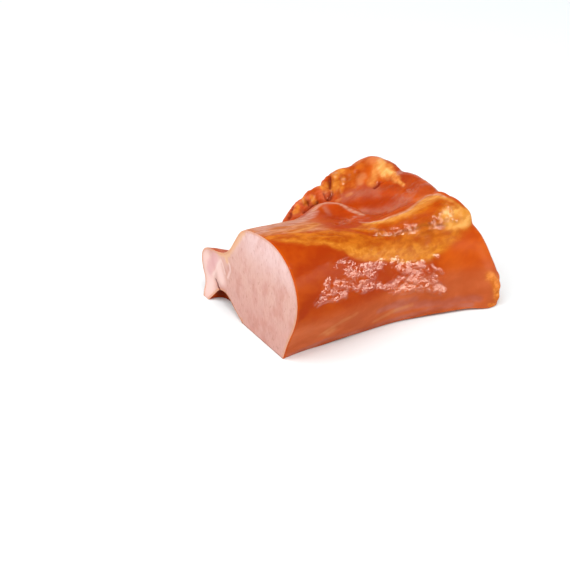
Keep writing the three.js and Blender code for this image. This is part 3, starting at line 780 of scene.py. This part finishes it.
cutPlan = {
    # Colours low, middle and top: the cut pales with height, a painted gradient of light
    "low": "#cb978b",
    "middle": "#d2a194",
    "top": "#e1bdb9",
    "heights": (0.012, 0.045, 0.075),  # metres over the board
    "patterns": {
        # size in mm, its share upwards, where it starts and where it is full, the colour that
        # darkens it, strength
        "cloud": (7.0, 0.6, 0.42, 0.72, "#f0d9d2", 0.7),
        "fibre": (1.4, 0.35, 0.42, 0.72, "#e4cbc2", 0.35),
        "fleck": (1.7, 0.5, 0.62, 0.72, "#d0a795", 0.4),
    },
    "layers": [
        # mask, colour, raggedness and softness of its edge, strength
        ("flapPale", "#e8c3ba", 0.4, 0.5, 0.9),
        ("flapMeat", "#d29798", 0.6, 0.5, 0.75),
        ("seam", "#e9cac2", 0.8, 0.5, 0.6),
        ("cutFat", "#daa67d", 0.7, 0.4, 0.85),
        ("rim", "#cc895f", 0.3, 0.4, 0.6),
        # The skin's edge along the cut's bottom, darkened as painted contact shadow
        ("cutBaseRimAndShadow", "#8a4a30", 0.3, 0.4, 0.8),
        # Painted shade: the dark inside of the slit
        ("slit", "#611006", 0.2, 0.35, 1.0),
    ],
}


def makeCut(plan):
    # Cured pork, sliced: pale pink and moist but not glazed, with faint upright fibres; paler towards the
    # top, which is painted light
    material, tree = newMaterial("cured_pork_cut")
    place = addNode(tree, "ShaderNodeTexCoord").outputs["Object"]
    up = addNode(tree, "ShaderNodeSeparateXYZ", {}, {0: place}).outputs["Z"]
    # Painted light: the colour pales from low to middle to top over the given heights
    colour = linear(plan["low"])
    for start, end, tint in zip(plan["heights"], plan["heights"][1:], (plan["middle"], plan["top"])):
        share = addNode(tree, "ShaderNodeMapRange", {"interpolation_type": "SMOOTHSTEP"}, {
            "Value": up, "From Min": start, "From Max": end}).outputs[0]
        colour = addNode(tree, "ShaderNodeMix", {"data_type": "RGBA"}, {
            0: share, 6: colour, 7: linear(tint)}).outputs[2]
    noises = {}
    for name, (size, upShare, start, full, tint, strength) in plan["patterns"].items():
        along = addNode(tree, "ShaderNodeMapping", {}, {"Vector": place, "Scale": (1.0, 1.0, upShare)})
        noises[name] = addNode(tree, "ShaderNodeTexNoise", {}, {
            "Vector": along.outputs[0], "Scale": mmPerMetre / size, "Detail": 2.0}).outputs[0]
        share = addNode(tree, "ShaderNodeMapRange", {"interpolation_type": "SMOOTHSTEP"}, {
            "Value": noises[name], "From Min": start, "From Max": full, "To Max": strength}).outputs[0]
        colour = addNode(tree, "ShaderNodeMix", {"data_type": "RGBA", "blend_type": "MULTIPLY"}, {
            0: share, 6: colour, 7: linear(tint)}).outputs[2]
    for mask, tint, ragged, soft, strength in plan["layers"]:
        held = addNode(tree, "ShaderNodeAttribute", {"attribute_name": mask}).outputs["Fac"]
        push = addNode(tree, "ShaderNodeMath", {"operation": "MULTIPLY_ADD"}, {
            0: noises["fibre"], 1: ragged, 2: held}).outputs[0]
        middle = 0.5 + ragged * 0.5
        share = addNode(tree, "ShaderNodeMapRange", {"interpolation_type": "SMOOTHSTEP"}, {
            "Value": push, "From Min": middle - soft, "From Max": middle + soft,
            "To Max": strength}).outputs[0]
        colour = addNode(tree, "ShaderNodeMix", {"data_type": "RGBA"}, {
            0: share, 6: colour, 7: linear(tint)}).outputs[2]
    bump = addNode(tree, "ShaderNodeBump", {}, {
        "Strength": 0.3, "Distance": 0.0002, "Height": noises["fibre"]}).outputs[0]
    shader = addNode(tree, "ShaderNodeBsdfPrincipled", {"subsurface_method": "RANDOM_WALK"}, {
        "Base Color": colour, "Roughness": 0.45, "Normal": bump, "IOR": 1.4, "Specular IOR Level": 0.35,
        "Subsurface Weight": 0.3, "Subsurface Radius": (1.0, 0.45, 0.3), "Subsurface Scale": 0.003})
    addNode(tree, "ShaderNodeOutputMaterial", {}, {"Surface": shader.outputs[0]})
    return material


skinMaterial = makeSkin(skinPlan)
cutMaterial = makeCut(cutPlan)
print("materials made")


# Relief of the skin, by Geometry Nodes on the refined mesh
reliefPlan = {
    "Swell Size": 18.0,  # sizes and depths in millimetres
    "Swell Depth": 0.25,
    "Crinkle Size": 5.0,
    "Crinkle Depth": 0.24,
    "Dimple Size": 3.4,
    "Dimple Depth": 0.22,
    "Wrinkle Size": 3.4,
    "Wrinkle Depth": 0.3,
    "Ripple Size": 5.0,
    "Ripple Depth": 0.35,
    "Crag Size": 9.0,
    "Crag Depth": 1.2,
    "Slit Depth": 1.6,
    "Seed": 11.0,
}
reliefLayers = [
    # name, stretch of each axis, the mask that holds it in place, detail, twist
    ("Swell", (0.6, 1.0, 1.0), None, 1.0, 0.0),
    ("Crinkle", (0.5, 1.0, 1.0), "crinkle", 3.0, 0.8),
    ("Dimple", (0.4, 1.0, 1.0), "cap", 2.0, 0.4),
    ("Wrinkle", (0.1, 1.0, 0.6), "topSkin", 2.0, 0.4),
    ("Ripple", (0.4, 1.0, 1.0), "moist", 2.0, 0.6),
    ("Crag", (1.0, 1.0, 0.8), "crag", 1.5, 0.8),
]


def reliefTree(plan, layers):
    tree = bpy.data.node_groups.new("skin_relief", "GeometryNodeTree")
    tree.interface.new_socket("Geometry", in_out="INPUT", socket_type="NodeSocketGeometry")
    sockets = {}
    for name, value in plan.items():
        socket = tree.interface.new_socket(name, in_out="INPUT", socket_type="NodeSocketFloat")
        socket.default_value = value
        sockets[name] = socket.identifier
    for name in ("Skin", "Cut"):
        socket = tree.interface.new_socket(name, in_out="INPUT", socket_type="NodeSocketMaterial")
        sockets[name] = socket.identifier
    tree.interface.new_socket("Geometry", in_out="OUTPUT", socket_type="NodeSocketGeometry")
    given = addNode(tree, "NodeGroupInput").outputs
    place = addNode(tree, "GeometryNodeInputPosition").outputs[0]
    masks = {}
    for name in ("crinkle", "cap", "topSkin", "moist", "crag", "push", "free", "slit", "hem"):
        masks[name] = addNode(tree, "GeometryNodeInputNamedAttribute", {"data_type": "FLOAT"}, {
            "Name": name}).outputs[0]
    inMillimetres = addNode(tree, "ShaderNodeVectorMath", {"operation": "SCALE"}, {
        0: place, "Scale": mmPerMetre}).outputs[0]
    total = masks["push"]
    for name, stretch, mask, detail, twist in layers:
        along = addNode(tree, "ShaderNodeVectorMath", {"operation": "MULTIPLY"}, {
            0: inMillimetres, 1: stretch})
        spread = addNode(tree, "ShaderNodeMath", {"operation": "DIVIDE"}, {0: 1.0, 1: given[name + " Size"]})
        noise = addNode(tree, "ShaderNodeTexNoise", {"noise_dimensions": "4D"}, {
            "Vector": along.outputs[0], "W": given["Seed"], "Scale": spread.outputs[0], "Detail": detail,
            "Roughness": 0.5, "Distortion": twist})
        # Noise swings about its middle, so the skin rises and falls alike
        height = addNode(tree, "ShaderNodeMapRange", {"clamp": False}, {
            "Value": noise.outputs[0], "To Min": -2.0, "To Max": 2.0})
        lift = addNode(tree, "ShaderNodeMath", {"operation": "MULTIPLY"}, {
            0: height.outputs[0], 1: given[name + " Depth"]})
        if mask:
            lift = addNode(tree, "ShaderNodeMath", {"operation": "MULTIPLY"}, {
                0: lift.outputs[0], 1: masks[mask]})
        total = addNode(tree, "ShaderNodeMath", {}, {0: total, 1: lift.outputs[0]}).outputs[0]
    held = addNode(tree, "ShaderNodeMath", {"operation": "MULTIPLY"}, {0: total, 1: masks["free"]})
    opened = addNode(tree, "ShaderNodeMath", {"operation": "MULTIPLY"}, {
        0: masks["slit"], 1: given["Slit Depth"]})
    moved = addNode(tree, "ShaderNodeMath", {"operation": "SUBTRACT"}, {
        0: held.outputs[0], 1: opened.outputs[0]})
    metres = addNode(tree, "ShaderNodeMath", {"operation": "MULTIPLY"}, {
        0: moved.outputs[0], 1: 1 / mmPerMetre})
    facing = addNode(tree, "GeometryNodeInputNormal").outputs[0]
    outward = addNode(tree, "ShaderNodeVectorMath", {"operation": "SCALE"}, {
        0: facing, "Scale": metres.outputs[0]})
    hemRise = addNode(tree, "ShaderNodeMath", {"operation": "MULTIPLY"}, {
        0: masks["hem"], 1: 1 / mmPerMetre})
    upward = addNode(tree, "ShaderNodeCombineXYZ", {}, {"Z": hemRise.outputs[0]})
    offset = addNode(tree, "ShaderNodeVectorMath", {}, {0: outward.outputs[0], 1: upward.outputs[0]})
    shaped = addNode(tree, "GeometryNodeSetPosition", {}, {
        "Geometry": given["Geometry"], "Offset": offset.outputs[0]})
    real = addNode(tree, "GeometryNodeRealizeInstances", {}, {"Geometry": shaped.outputs[0]})
    # The cut is marked before Set Material gives the slots a new order
    kind = addNode(tree, "GeometryNodeInputMaterialIndex").outputs[0]
    onCut = addNode(tree, "FunctionNodeCompare", {"data_type": "INT", "operation": "EQUAL"}, {
        2: kind, 3: cutKind})
    cutFaces = addNode(tree, "GeometryNodeStoreNamedAttribute", {"data_type": "BOOLEAN", "domain": "FACE"}, {
        "Geometry": real.outputs[0], "Name": "cutFace", "Value": onCut.outputs[0]})
    skinned = addNode(tree, "GeometryNodeSetMaterial", {}, {
        "Geometry": cutFaces.outputs[0], "Material": given["Skin"]})
    cutMark = addNode(tree, "GeometryNodeInputNamedAttribute", {"data_type": "BOOLEAN"}, {"Name": "cutFace"})
    sliced = addNode(tree, "GeometryNodeSetMaterial", {}, {
        "Geometry": skinned.outputs[0], "Selection": cutMark.outputs[0], "Material": given["Cut"]})
    addNode(tree, "NodeGroupOutput", {}, {0: sliced.outputs[0]})
    return tree, sockets


def makeMeat(plan, layers):
    tree, sockets = reliefTree(plan, layers)
    holder = bpy.data.objects.new("loin_holder", fineMesh)
    scene.collection.objects.link(holder)
    relief = holder.modifiers.new("relief", "NODES")
    relief.node_group = tree
    for name, value in plan.items():
        relief[sockets[name]] = value
    relief[sockets["Skin"]] = skinMaterial
    relief[sockets["Cut"]] = cutMaterial
    mesh = plainMesh(holder, "smoked_pork_loin")
    meat = bpy.data.objects.new("smoked_pork_loin", mesh)
    scene.collection.objects.link(meat)
    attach(meat, "root")
    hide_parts("pork_pastrami")
    return meat


meat = makeMeat(reliefPlan, reliefLayers)
meat.data.calc_loop_triangles()
print("meat has", len(meat.data.vertices), "vertices and", len(meat.data.loop_triangles), "triangles")
